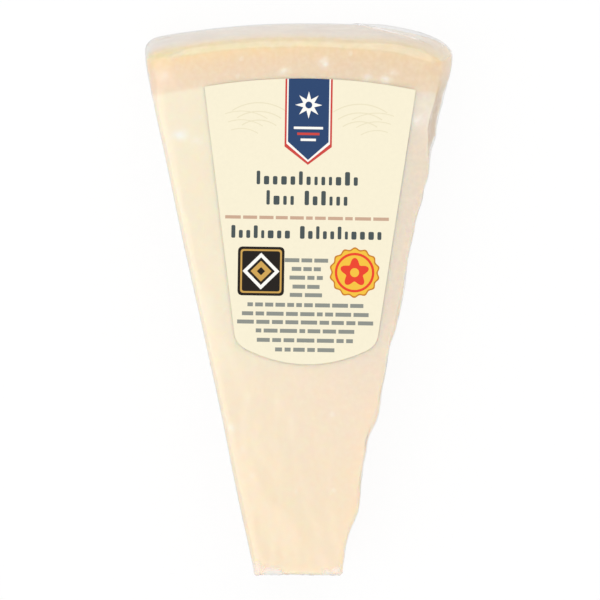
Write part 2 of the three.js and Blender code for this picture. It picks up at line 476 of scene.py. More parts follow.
def depth_under_rind(add, place, z):
    """Depth of each point under the wheel's bulging rind."""
    axis = Vector((*AXIS, 0)) * MM
    outwards = add("ShaderNodeVectorMath", {0: place, 1: axis}, operation="SUBTRACT")
    level = add("ShaderNodeVectorMath", {0: outwards, 1: (1, 1, 0)}, operation="MULTIPLY")
    radius = add("ShaderNodeVectorMath", {0: level}, operation="LENGTH", output=1)
    z_squared = add("ShaderNodeMath", {0: z, 1: z}, operation="MULTIPLY")
    bulge = -RIND_BULGE / THICKNESS**2 / MM
    wheel = add(
        "ShaderNodeMath", {0: z_squared, 1: bulge, 2: WHEEL_RADIUS * MM}, operation="MULTIPLY_ADD"
    )
    return add("ShaderNodeMath", {0: wheel, 1: radius}, operation="SUBTRACT")


def pressed_paste(add, settings, place, x, y, depth):
    """Pressed paste: it is banded under the rind, then pale, softly clouded, warmer towards the
    tip, and greyer towards the broken side, partly as drier paste and partly as painted shade
    away from the light on the left."""
    waver = add("ShaderNodeTexNoise", {"Vector": place, "Scale": 1 / (WAVER * MM), "Detail": 2.0})
    waved = add("ShaderNodeMath", {0: waver, 1: WAVER_DEPTH * MM, 2: depth}, operation="MULTIPLY_ADD")
    share = add(
        "ShaderNodeMapRange",
        {"Value": waved, "From Min": 0.5 * WAVER_DEPTH * MM, "From Max": ZONE_DEPTH * MM},
    )
    stops = [(at, shade(colour)) for at, colour in ZONE_COLOURS]
    zone = add("ShaderNodeValToRGB", {0: share}, stops)
    past_zone, warm, across = (
        add(
            "ShaderNodeMapRange",
            {"Value": value, "From Min": start * MM, "From Max": end * MM},
            interpolation_type="SMOOTHSTEP",
        )
        for value, (start, end) in ((waved, ZONE_EDGE), (y, WARMING), (x, DRYING_AND_SHADE))
    )
    cloud = add("ShaderNodeTexNoise", {"Vector": place, "Scale": 1 / (CLOUD * MM), "Detail": 3.0})
    cloudy = add(
        "ShaderNodeMapRange", {"Value": cloud, "From Min": 0.35, "From Max": 0.65, "To Max": 0.35}
    )
    # Partly painted shade: greyer towards the broken side, away from the light on the left, less at the
    # tip
    cool = add("ShaderNodeMath", {0: 1.0, 1: warm}, operation="SUBTRACT")
    dry_and_shade = add("ShaderNodeMath", {0: across, 1: cool}, operation="MULTIPLY")
    paste = shade(settings.paste_colour)
    for share, over in (
        (warm, shade(settings.tip_colour)),
        (cloudy, shade("#f4e3cd")),
        (dry_and_shade, shade(settings.dry_and_shade_colour)),
    ):
        paste = add("ShaderNodeMix", {0: share, 6: paste, 7: over}, data_type="RGBA", output=2)

    # Painted shade: the zone under the rind greys half as much towards the broken side, away from the
    # light on the left
    half_dry_and_shade = add("ShaderNodeMath", {0: across, 1: 0.5}, operation="MULTIPLY")
    zone = add("ShaderNodeMix", {0: half_dry_and_shade, 6: zone, 7: shade("#e3ceae")}, data_type="RGBA", output=2)
    return add("ShaderNodeMix", {0: past_zone, 6: zone, 7: paste}, data_type="RGBA", output=2)


def rind_skin(add, settings, place):
    """Rind: the paste's own outside, rubbed and dried to a skin that is blotched and has dark
    pores."""
    blotch = add("ShaderNodeTexNoise", {"Vector": place, "Scale": 1 / (BLOTCH * MM), "Detail": 4.0})
    blotched = add("ShaderNodeMapRange", {"Value": blotch, "From Min": 0.42, "From Max": 0.66})
    pores = add("ShaderNodeTexVoronoi", {"Vector": place, "Scale": 1 / (PORE_GAP * MM)})
    pore = add("ShaderNodeMapRange", {"Value": pores, "From Min": 0.2, "From Max": 0.06, "To Max": 0.4})
    skin = shade(settings.rind_colour)
    for share, over in ((blotched, "#dab273"), (pore, "#a67d4a")):
        skin = add("ShaderNodeMix", {0: share, 6: skin, 7: shade(over)}, data_type="RGBA", output=2)
    return skin


def white_share(add, place, z, depth):
    """Share of white: the white patches that the mesh places, and ragged crystal specks, of which
    four in ten show, more faintly on the front and none in the rind's skin."""
    patch = add("ShaderNodeAttribute", attribute_name="white_patch", output="Fac")
    swirl = add(
        "ShaderNodeTexNoise",
        {"Vector": place, "Scale": 1 / (SPECK_SWIRL * MM), "Detail": 2.0},
        output="Color",
    )
    torn = add(
        "ShaderNodeVectorMath",
        {0: swirl, 1: (SPECK_TEAR * MM,) * 3, 2: place},
        operation="MULTIPLY_ADD",
    )
    specks = add("ShaderNodeTexVoronoi", {"Vector": torn, "Scale": 1 / (SPECK_GAP * MM)}).node.outputs
    speck = add(
        "ShaderNodeMapRange",
        {"Value": specks["Distance"], "From Min": 0.18, "From Max": 0.06},
        interpolation_type="SMOOTHSTEP",
    )
    chosen = add("ShaderNodeMath", {0: specks["Color"], 1: 0.56}, operation="GREATER_THAN")
    under_skin = add("ShaderNodeMath", {0: depth, 1: 2 * MM}, operation="GREATER_THAN")
    fainter = add(
        "ShaderNodeMapRange",
        {"Value": z, "From Min": 33 * MM, "From Max": 35 * MM, "To Min": 1.0, "To Max": 0.25},
    )
    for factor in (chosen, under_skin, fainter):
        speck = add("ShaderNodeMath", {0: speck, 1: factor}, operation="MULTIPLY")
    return add("ShaderNodeMath", {0: speck, 1: patch}, operation="MAXIMUM", use_clamp=True)


def hard_cheese(settings):
    """Hard cheese paste: pressed curd, long aged and dried. It lets light in a few millimetres,
    which softens its shading, and has fine grain, pale crystals and a darker zone under the rind."""
    material, add = new_material("hard_cheese_paste")
    place = add("ShaderNodeTexCoord", output="Object")
    x, y, z = add("ShaderNodeSeparateXYZ", {0: place}).node.outputs
    depth = depth_under_rind(add, place, z)
    colour = pressed_paste(add, settings, place, x, y, depth)

    # The mesh places painted shade, browner, on the broken side's wall near the rind, in the
    # notch and in the gaps between broken grains, and it places the rind's skin
    for measure, over in (
        ("painted_wall_shade", shade("#b88a5a")),
        ("hollow_shade", shade("#dcc39c")),
        ("skin", rind_skin(add, settings, place)),
    ):
        share = add("ShaderNodeAttribute", attribute_name=measure, output="Fac")
        colour = add("ShaderNodeMix", {0: share, 6: colour, 7: over}, data_type="RGBA", output=2)
    granules = add("ShaderNodeTexNoise", {"Vector": place, "Scale": 1 / (GRANULE * MM), "Detail": 3.0})
    grained = add(
        "ShaderNodeMapRange", {"Value": granules, "From Min": 0.4, "From Max": 0.75, "To Max": 0.3}
    )
    for share, over in (
        (grained, shade("#fbeed8")),
        (white_share(add, place, z, depth), shade("#fffaf3")),
    ):
        colour = add("ShaderNodeMix", {0: share, 6: colour, 7: over}, data_type="RGBA", output=2)
    bump = add("ShaderNodeBump", {"Height": granules, "Strength": 0.25, "Distance": 0.25 * MM})
    surface = add(
        "ShaderNodeBsdfPrincipled",
        {
            "Base Color": colour,
            "Roughness": 0.5,
            "IOR": 1.45,
            "Normal": bump,
            "Subsurface Weight": 1.0,
            "Subsurface Radius": (1.0, 0.62, 0.36),
            "Subsurface Scale": 2.2 * MM,
        },
    )
    add("ShaderNodeOutputMaterial", {"Surface": surface})
    return material


class CHEESE_OT_paste(bpy.types.Operator):
    """Build the cheese, just inside its film"""

    bl_idname = "cheese_wedge.paste"
    bl_label = "Cheese"

    def execute(self, context):
        settings = context.scene.cheese_paste
        piece = fine_wedge("cheese")
        places, normals = points_of(piece.data)
        at_rind = eased(from_axis(places), *RIND_END)
        broken = broken_share(places, normals)
        rind = eased(normals[:, 1], 0.4, 0.8) * at_rind
        grain = soft_noise(places, 2.4, octaves=3, seed=11.0)

        # The broken places' grain is shallower at the front and back edges and the tip's corners
        crags = crag_depth(places)
        crag = settings.crag / MM * (1 - 0.6 * eased(places[:, 2], THICKNESS - 5, THICKNESS - 1))
        crag *= 1 - 0.5 * eased(places[:, 2], 3, 0.5)
        for x, y in TIP_CORNERS:
            crag *= 0.2 + 0.8 * eased(np.hypot(places[:, 0] - x, places[:, 1] - y), 0.3, 3.5)

        # The paste lies just inside the film, which stands off the rind and bridges a hollow there
        depth = settings.inset / MM + 0.035 * (1 + grain)
        depth += crag * broken * crags
        depth = np.maximum(depth, 0.5 * settings.inset / MM)
        depth += rind * (0.1 + 0.06 * grain + BRIDGED_DEPTH * band(places[:, 0], *BRIDGED))
        for *place, pit in PITS:
            depth += pit * spot(places, *place)
        places -= normals * depth[:, None]
        set_points(piece.data, places)
        blunt_corners(piece.data, normals)

        # Painted shade: the deeper gaps of the broken places are browner
        set_measure(piece.data, "hollow_shade", 0.75 * broken * eased(crags, 0.35, 0.95))
        skin = eased(normals[:, 1], 0.5, 1) * at_rind
        set_measure(piece.data, "skin", skin * (1 - 0.8 * eased(places[:, 2], 24, 33)))
        patches = np.zeros(len(places))
        for *place, strength in WHITE_PATCHES:
            patches = np.maximum(patches, strength * spot(places, *place))
        ragged = 0.75 + 0.5 * soft_noise(places, 1.1, octaves=2, seed=5.0)
        set_measure(piece.data, "white_patch", np.clip(patches * ragged, 0, 1))
        # Painted shade: the broken side's upper wall near the rind is browner, as in the shade away
        # from the key light, and so is the notch
        broken_up = eased(soft_noise(places, 4.5, octaves=3, seed=6.0), -0.5, 0.3)
        painted_wall_shade = band(places[:, 1], *WALL_SHADE_SPAN) * (0.28 + 0.4 * broken_up)
        painted_wall_shade *= eased(normals[:, 0], 0.35, 0.8) * eased(places[:, 2], 17, 29)
        set_measure(piece.data, "painted_wall_shade", np.maximum(painted_wall_shade, 0.6 * spot(places, *NOTCH_SHADE)))
        piece.data.materials.append(hard_cheese(settings))
        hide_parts("packed_wedge")
        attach(piece, "root")
        return {"FINISHED"}


# Film

# Folds that the film has at known places: height as a share of the pleat height, width on each
# side, and points near the surface that the fold runs along
FOLDS = [
    (0.75, 0.8, [(15.8, 80, 3), (20, 80, 14), (27.4, 80, 23.5), (35.5, 78, 28.5), (43.1, 76, 30.5)]),
    (0.4, 0.7, [(43.6, 75.4, 29), (43.3, 75.6, 20), (42.4, 76, 7)]),
    (0.15, 1.2, [(-37.5, 69.4, 35.6), (-34.4, 71.1, 35.8), (-31.5, 72.4, 35.4)]),
    (0.5, 1.6, [(-12.9, -74.8, 36), (-12.2, -77.6, 36), (-11.6, -80, 33), (-11.0, -80, 26)]),
    (0.5, 1.9, [(-11.9, -77.6, 36), (-9.0, -78.6, 36), (-6.0, -79.5, 36), (-4.0, -80, 25)]),
    (0.4, 1.5, [(5.6, -78.4, 36), (8.6, -79.3, 36), (10.6, -80, 33), (12.0, -80, 24)]),
    (0.4, 1.3, [(10.6, -76.9, 36), (11.3, -78.3, 36), (12.3, -80, 32)]),
]

# Distance from a fold within which its profile is worked out, and gap between its path's points
FOLD_REACH = 3.0
FOLD_STEP = 0.8

# Gathers of the film at the tip and at each of the rind's two upright corners, which are given by
# their place and the height that the gathers reach
TIP_GATHERS = 14
CORNER_GATHERS = 4
RIND_CORNERS = ((-43.5, 73.0, 33), (43.5, 73.0, 20))

# Passes that divide the mesh again near the folds: how far from a fold, as a share of its width,
# and the least height, as a share of its width, of the folds that count
DIVISIONS = ((1.6, 0.0), (1.0, 0.35))

# Under its long fold the film is loose: the fold's height over the back at some x, and the x where
# the loose film starts, is full, fades and ends
LONG_FOLD = [(15.8, 5), (27.4, 26), (31.2, 28), (43.1, 31)]
LOOSE = (13, 30, 38, 46)


def all_folds():
    """Height, width and points of the known folds, of the gathers at the tip and at the rind's
    corners, and of the fine pleats across the long edges."""
    draw = random.Random(7)
    folds = list(FOLDS)
    for _ in range(TIP_GATHERS):
        x = draw.uniform(-12.5, 12.8)
        z = draw.choice((0.2, 0.5, 35.2))
        at_back = z < THICKNESS / 2
        inwards = 30 if at_back else -30
        slant = draw.uniform(-5, 5)
        start = (x, -77.5 if at_back else -79.2, z)
        turn = (x + 0.3 * slant, -79.9, z)
        end = (x + slant, -80, z + inwards * draw.uniform(0.15, 0.5))
        folds.append((draw.uniform(0.2, 0.4), draw.uniform(0.8, 1.2), [start, turn, end]))
    for side in (-1, 1):
        y = -70.0
        while y < 60:
            x = AXIS[0] + side * (y - AXIS[1]) * math.tan(HALF_ANGLE)
            z = draw.choice((0.0, THICKNESS))
            inwards = -1 if z else 1
            reach = draw.uniform(2, 7)
            slant = draw.uniform(-2.5, 2.5)
            start = z + 1.5 * inwards
            points = [(x, y, start), (x, y + slant, start + inwards * reach)]
            folds.append((draw.uniform(0.12, 0.3), draw.uniform(0.7, 1.0), points))
            y += draw.uniform(5, 14)
    for x, y, top in RIND_CORNERS:
        for _ in range(CORNER_GATHERS):
            z = draw.uniform(4, top)
            rise = draw.uniform(-5, 5)
            along = draw.uniform(7, 16)
            outer = math.copysign(along, x)
            points = [(x - outer, y + 6, z + rise), (x, y, z), (x, y - 0.8 * along, z - rise)]
            folds.append((draw.uniform(0.15, 0.3), draw.uniform(0.8, 1.2), points))
    return folds


def laid_on(surface, points):
    """Close-set points of a smooth curve through the given ones, laid on the surface."""
    knots = [Vector(p) for p in points]
    knots = [2 * knots[0] - knots[1], *knots, 2 * knots[-1] - knots[-2]]
    curve = []
    for before, start, end, after in zip(knots, knots[1:], knots[2:], knots[3:]):
        steps = max(2, round((end - start).length / FOLD_STEP))
        for step in range(steps):
            t = step / steps
            bend = t * (1 - t) * ((1 - t) * (end - before) / 2 - t * (after - start) / 2)
            curve.append(start.lerp(end, t * t * (3 - 2 * t)) + bend)
    curve.append(knots[-2])
    return np.array([surface.find_nearest(place * MM)[0] / MM for place in curve])


def fold_profile(places, path):
    """Distance of each point from a path, and its place along the path from 0 to 1."""
    nearest = np.full(len(places), np.inf)
    along = np.zeros(len(places))
    low, high = path.min(0) - FOLD_REACH, path.max(0) + FOLD_REACH
    close = np.flatnonzero(np.all((places > low) & (places < high), axis=1))
    spots = places[close]
    for number, (start, end) in enumerate(zip(path, path[1:])):
        run = end - start
        share = np.clip((spots - start) @ run / max(run @ run, 1e-9), 0, 1)
        distance = np.linalg.norm(spots - start - share[:, None] * run, axis=1)
        better = distance < nearest[close]
        nearest[close[better]] = distance[better]
        along[close[better]] = (number + share[better]) / (len(path) - 1)
    return nearest, along


def divide_near(shape, folds):
    """Divide the mesh again near the folds, and near the steep ones twice."""
    for reach, steepness in DIVISIONS:
        places = np.array([v.co for v in shape.verts]) / MM
        nearest = np.full(len(places), np.inf)
        for height, width, path in folds:
            if height >= steepness * width:
                nearest = np.minimum(nearest, fold_profile(places, path)[0] / width)
        shape.verts.ensure_lookup_table()
        edges = [e for e in shape.edges if max(nearest[v.index] for v in e.verts) < reach]
        bmesh.ops.subdivide_edges(shape, edges=edges, cuts=1, use_grid_fill=True)
        shape.verts.index_update()


def fold_relief(places, folds):
    """Height of the folds at each point, as a share of the pleat height, and how creased it is."""
    lift = np.zeros(len(places))
    crease = np.zeros(len(places))
    patchy = 0.6 + 0.4 * eased(soft_noise(places, 5.0, octaves=2, seed=4.0), -0.35, 0.35)
    for height, width, path in folds:
        distance, along = fold_profile(places, path)
        taper = band(along, 0, 0.2, 0.7, 1)
        ridge = np.clip(1 - distance / width, 0, 1) ** 1.5 * taper
        lift = np.maximum(lift, ridge * height)
        milky = eased(distance / width, 1.1 + 0.4 * min(1, height), 0.4) * taper
        crease = np.maximum(crease, milky * min(1, 1.6 * height) * patchy)
    return lift, crease


def strain(places, normals, ripple):
    """How milky the film is away from its folds, with painted highlight along the clean side's front
    edge and partly painted reflection over the rind's front edge.
    """
    # It is loose between the long fold and the back of the rind
    below = np.interp(places[:, 0], *zip(*LONG_FOLD)) - places[:, 2]
    loose = eased(normals[:, 1], 0.5, 0.8) * band(places[:, 0], *LOOSE) * eased(below, 0, 2.5)
    loose *= 0.1 + 0.2 * eased(places[:, 2], 4, 26)

    # It is bunched where it turns over the rind's front edge, most of all at the left corner; the
    # milkiness there is partly painted reflection, which whitens the rind band
    bunched_and_reflection = eased(normals[:, 1], 0.3, 0.85) * eased(places[:, 2] + 4 * ripple, 6, 26)
    bunched_and_reflection *= 1 - 0.6 * eased(places[:, 2], 28, 35)
    bunched_and_reflection *= 0.3 + 0.14 * ripple + 0.2 * eased(places[:, 0], -24, -42)

    # Along the clean side's front edge it is made milky: painted highlight that whitens the edge on the
    # key light's side
    edge_highlight = eased(places[:, 2], THICKNESS - 7, THICKNESS - 2)
    edge_highlight *= eased(-normals[:, 0], 0.1, 0.6) * (0.2 + 0.06 * ripple)
    return np.maximum.reduce([loose, bunched_and_reflection, edge_highlight])


def clear_film(settings):
    """Clear shrink film: blown polyethylene, drawn tight by heat. Light goes straight through it
    but for a glossy reflection that grows towards its edges, and it is milky where it is folded."""
    material, add = new_material("clear_shrink_film")

    # Both faces of the film reflect, together 7 % when seen straight on and 56 % at 80 degrees, but
    # less where the film is crumpled over the broken side
    facing = add("ShaderNodeLayerWeight", {"Blend": 0.5}, output="Facing")
    steep = add("ShaderNodeMath", {0: facing, 1: 3.4}, operation="POWER")
    crumpled = add("ShaderNodeAttribute", attribute_name="crumpled", output="Fac")
    growth = add("ShaderNodeMath", {0: crumpled, 1: -0.65, 2: 0.93}, operation="MULTIPLY_ADD")
    mirror = add("ShaderNodeMath", {0: steep, 1: growth, 2: 0.07}, operation="MULTIPLY_ADD")
    crease = add("ShaderNodeAttribute", attribute_name="crease", output="Fac")
    haze = add("ShaderNodeMath", {0: crease, 1: 0.7, 2: settings.haze}, operation="MULTIPLY_ADD")
    clear = add("ShaderNodeBsdfTransparent")
    milky = add("ShaderNodeBsdfDiffuse", {"Color": shade("#fdfdff")})
    gloss = add("ShaderNodeBsdfGlossy", {"Roughness": 0.12})
    body = add("ShaderNodeMixShader", {0: haze, 1: clear, 2: milky})
    surface = add("ShaderNodeMixShader", {0: mirror, 1: body, 2: gloss})
    add("ShaderNodeOutputMaterial", {"Surface": surface})
    return material


class CHEESE_OT_film(bpy.types.Operator):
    """Build the film, with its folds and pleats"""

    bl_idname = "cheese_wedge.film"
    bl_label = "Film"

    def execute(self, context):
        settings = context.scene.cheese_film
        piece = fine_wedge("film")
        shape = bmesh.new()
        shape.from_mesh(piece.data)
        surface = BVHTree.FromBMesh(shape)
        folds = [(height, width, laid_on(surface, points)) for height, width, points in all_folds()]
        divide_near(shape, folds)
        shape.to_mesh(piece.data)
        shape.free()

        places, normals = points_of(piece.data)
        lift, crease = fold_relief(places, folds)
        ripple = soft_noise(places * (1, 0.6, 1), 7.0, octaves=2, seed=2.0)
        crease = np.maximum(crease, strain(places, normals, ripple))

        # It sinks a little into the hollows of the broken side and the tip
        sunk = 0.3 * broken_share(places, normals) * crag_depth(places)
        lift = settings.pleat_height / MM * lift + settings.ripple / MM * (ripple - 0.6) - sunk
        places += normals * lift[:, None]
        low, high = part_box("packed_wedge")
        places = np.clip(places, np.array(low) / MM, np.array(high) / MM)
        set_points(piece.data, places)
        set_measure(piece.data, "crease", crease)
        set_measure(piece.data, "crumpled", eased(normals[:, 0], 0.25, 0.75))
        piece.data.materials.append(clear_film(settings))
        piece.data.shade_smooth()
        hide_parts("packed_wedge")
        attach(piece, "root")
        return {"FINISHED"}


# Label, whose sizes and places are in its own frame

INKS = {
    "black": "#1d1712",
    "charcoal": "#475152",
    "grey": "#8a8d86",
    "red": "#c8433c",
    "brick": "#c5a48c",
    "white": "#f6f4ee",
    "yellow": "#edbd3e",
    "amber": "#c47a22",
    "gold": "#c99f52",
    "faint": "#e4dbbd",
}

# Middles of the pennant and of the large lines, in u, and of the badge and the seal
PENNANT = -0.3
HEADLINE = -0.41
BADGE = (-13.3, 55.6)
SEAL = (13.64, 55.6)

# Layers of the pennant, each with its ink, width and lowest v, and the height of their points
PENNANT_LAYERS = [("red", 13.6, 24.8), ("white", 12.5, 24.0), ("field", 11.7, 23.4)]
PENNANT_POINT = 5.2

# Blocks of small print, each with its middle in u, and the v and width of its lines
SMALL_PRINT = [
    (-0.27, [(52.3, 12.5), (54.8, 8.4), (57.3, 9.6), (59.9, 7.8), (62.3, 9.3)]),
    (-0.36, [(65.2, 33.4), (67.8, 36.5), (70.2, 39.2), (72.7, 28.4), (75.4, 27.7), (78.1, 17.1)]),
]

# Gap between the points of the paper, and the depth and length of its waves
PAPER_GRID = 2.5
PAPER_WAVE = 0.03
PAPER_WAVE_LENGTH = 14


def box_shape(u, v, width, height, corner=0.0):
    """A rectangle with rounded corners, about its middle."""
    half_u, half_v = width / 2, height / 2
    if not corner:
        return [(u + i * half_u, v + j * half_v) for i, j in ((-1, -1), (1, -1), (1, 1), (-1, 1))]
    points = []
    for i, j, start in ((1, 1, 0), (-1, 1, 90), (-1, -1, 180), (1, -1, 270)):
        middle_u = u + i * (half_u - corner)
        middle_v = v + j * (half_v - corner)
        for turn in (0, 30, 60, 90):
            angle = math.radians(start + turn)
            points.append((middle_u + corner * math.cos(angle), middle_v + corner * math.sin(angle)))
    return points


def lozenge_shape(u, v, reach):
    return [(u, v - reach), (u + reach, v), (u, v + reach), (u - reach, v)]


def point_round(u, v, reach, angle):
    """The point at a reach from a middle, at an angle clockwise from straight up."""
    return u + reach * math.sin(angle), v - reach * math.cos(angle)


def round_shape(u, v, radius, steps=40, waves=0, depth=0.0):
    """A disc, or a rosette with the given number of waves round its edge."""
    points = []
    for step in range(steps):
        angle = 2 * math.pi * step / steps
        reach = radius * (1 + depth * math.cos(waves * angle))
        points.append(point_round(u, v, reach, angle))
    return points


def star_shape(u, v, outer, inner, tips):
    points = []
    for step in range(2 * tips):
        angle = math.pi * step / tips
        reach = inner if step % 2 else outer
        points.append(point_round(u, v, reach, angle))
    return points


def arc_shape(u, v, radius, start, end, width):
    """A thin arc about a point, between two angles in degrees from straight up."""
    angles = [math.radians(start + (end - start) * step / 14) for step in range(15)]
    outer = [point_round(u, v, radius, angle) for angle in angles]
    inner = [point_round(u, v, radius - width, angle) for angle in reversed(angles)]
    return outer + inner


def headline(draw, baseline, width, low_height, words):
    """Rows of plain rounded blocks, some of them taller, in the rhythm of large print."""
    blocks = []
    reach = 0.0
    for count in words:
        for number in range(count):
            wide = low_height * draw.uniform(0.3, 0.62)
            tall = low_height * (1.6 if number == 0 or draw.random() < 0.2 else 1.0)
            blocks.append((reach, wide, tall))
            reach += wide + 0.37 * low_height
        reach += 0.7 * low_height
    scale = width / (blocks[-1][0] + blocks[-1][1])
    for start, wide, tall in blocks:
        centre = HEADLINE - width / 2 + (start + wide / 2) * scale
        corner = min(0.32 * wide * scale, 0.4)
        yield "charcoal", box_shape(centre, baseline - tall / 2, wide * scale, tall, corner)


def word_bars(draw, ink, u, v, width, height):
    """One line of small print, as plain bars of the length of words."""
    words = []
    reach = 0.0
    while reach < width:
        word = draw.uniform(1.6, 5.2)
        words.append((reach, word))
        reach += word + 0.7
    scale = width / (reach - 0.7)
    for start, word in words:
        centre = u - width / 2 + (start + word / 2) * scale
        yield ink, box_shape(centre, v, word * scale, height)


def print_shapes():
    """The label's print from the bottom layer up, each as its ink and outline."""
    draw = random.Random(21)
    for side in (-1, 1):
        for radius in (9.0, 11.5, 14.0):
            yield "faint", arc_shape(side * 14.5, 21.0, radius, -34, 34, width=0.3)
            lean = -6 * side
            yield "faint", arc_shape(side * 19.5, 23.5, radius, lean - 26, lean + 26, width=0.25)

    # Pennant with a plain star and three lines
    for ink, width, lowest in PENNANT_LAYERS:
        left, right = PENNANT - width / 2, PENNANT + width / 2
        low = lowest - PENNANT_POINT
        yield ink, [(left, -1), (right, -1), (right, low), (PENNANT, lowest), (left, low)]
    yield "white", star_shape(PENNANT, 7.6, outer=3.9, inner=1.7, tips=8)
    yield "field", round_shape(PENNANT, 7.6, radius=1.0, steps=20)
    for ink, v, width in (("white", 14.2, 8.4), ("red", 15.9, 6.4), ("white", 17.6, 4.4)):
        yield ink, box_shape(PENNANT, v, width, height=0.7)

    yield from headline(draw, baseline=30.6, width=29.1, low_height=2.45, words=(13,))
    yield from headline(draw, baseline=36.4, width=23.3, low_height=2.6, words=(4, 6))
    yield from word_bars(draw, "brick", PENNANT, 40.1, width=47.1, height=0.95)
    yield from headline(draw, baseline=46.1, width=43.2, low_height=2.3, words=(8, 11))

    # Badge with a lozenge
    yield "black", box_shape(*BADGE, width=13.4, height=14.1, corner=1.2)
    yield "gold", box_shape(*BADGE, width=11.9, height=12.6, corner=0.8)
    yield "black", box_shape(*BADGE, width=10.9, height=11.6, corner=0.6)
    for ink, reach in (("white", 5.3), ("black", 4.0), ("gold", 3.0), ("black", 1.2)):
        yield ink, lozenge_shape(*BADGE, reach)

    # Seal: a rosette round a five-petalled flower
    yield "amber", round_shape(*SEAL, radius=7.0, steps=112, waves=14, depth=0.045)
    yield "yellow", round_shape(*SEAL, radius=6.55, steps=112, waves=14, depth=0.045)
    yield "seal", round_shape(*SEAL, radius=5.7)
    yield "yellow", round_shape(*SEAL, radius=5.0)
    yield "seal", round_shape(*SEAL, radius=3.4, steps=60, waves=5, depth=0.25)
    yield "yellow", round_shape(*SEAL, radius=1.3, steps=24)

    for u, lines in SMALL_PRINT:
        for v, width in lines:
            yield from word_bars(draw, "grey", u, v, width, height=1.15)


def printed_paper(name, colour):
    """Coated label paper: pulp calendered smooth under a thin clay coat, offset printed. It is
    matt, so its inks stay deep in even light, and it is faintly mottled by its fibres."""
    material, add = new_material(name)
    place = add("ShaderNodeTexCoord", output="Object")

    # Fibre clumps of about 1 mm
    fibres = add("ShaderNodeTexNoise", {"Vector": place, "Scale": 1 / (1.0 * MM), "Detail": 4.0})
    mottled = add(
        "ShaderNodeMix",
        {0: fibres, 6: shade(colour, 0.97), 7: shade(colour, 1.02)},
        data_type="RGBA",
        output=2,
    )
    bump = add("ShaderNodeBump", {"Height": fibres, "Strength": 0.1, "Distance": 0.05 * MM})
    surface = add(
        "ShaderNodeBsdfPrincipled",
        {
            "Base Color": mottled,
            "Roughness": 0.65,
            "IOR": 1.45,
            "Specular IOR Level": 0.2,
            "Normal": bump,
        },
    )
    add("ShaderNodeOutputMaterial", {"Surface": surface})
    return material


def label_outline():
    """The CAD label's outline in the label's frame, in order."""
    shape = bmesh.new()
    shape.from_mesh(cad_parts["label"].data)
    bmesh.ops.remove_doubles(shape, verts=shape.verts, dist=1e-6)
    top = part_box("label")[1].z
    lid = {f for f in shape.faces if all(abs(v.co.z - top) < 1e-6 for v in f.verts)}
    rim = [e for e in shape.edges if sum(f in lid for f in e.link_faces) == 1]
    after = {}
    for edge in rim:
        for vert, other in (edge.verts, reversed(edge.verts)):
            after.setdefault(vert, []).append(other)
    start = rim[0].verts[0]
    loop = [start]
    here, there = start, after[start][0]
    while there is not start:
        loop.append(there)
        here, there = there, next(v for v in after[there] if v is not here)
    turned = []
    for vert in loop:
        dx, dy = vert.co.x / MM - LABEL_MIDDLE[0], vert.co.y / MM - LABEL_MIDDLE[1]
        u = dx * math.cos(LABEL_TURN) + dy * math.sin(LABEL_TURN)
        v = dx * math.sin(LABEL_TURN) - dy * math.cos(LABEL_TURN)
        turned.append((u, v))
    shape.free()
    return turned


def cut_paper(outlines):
    """The paper's points, and its triangles, each with the number of the topmost outline round it.
    The first outline is the paper's own, and a grid of points lets the paper wave."""
    places, faces = [], []
    for outline in outlines:
        faces.append(list(range(len(places), len(places) + len(outline))))
        places += [Vector(p) for p in outline]
    grid_u = np.arange(-30, 31, PAPER_GRID)
    grid_v = np.arange(1, 82, PAPER_GRID)
    places += [Vector((u, v)) for u in grid_u for v in grid_v]
    verts, _, tris, _, _, owners = delaunay_2d_cdt(places, [], faces, 1, 1e-4)
    return verts, [(t, max(o)) for t, o in zip(tris, owners) if 0 in o]


def label_face(verts):
    """The paper's upper face: its points in the row frame, in metres, gently waved."""
    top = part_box("label")[1].z
    upper = []
    for u, v in verts:
        place = Vector((u / PAPER_WAVE_LENGTH, v / PAPER_WAVE_LENGTH, 0.3))
        wave = PAPER_WAVE * (1 + noise.noise(place))
        x = LABEL_MIDDLE[0] + u * math.cos(LABEL_TURN) + v * math.sin(LABEL_TURN)
        y = LABEL_MIDDLE[1] + u * math.sin(LABEL_TURN) - v * math.cos(LABEL_TURN)
        upper.append(Vector((x * MM, y * MM, top - wave * MM)))
    return upper


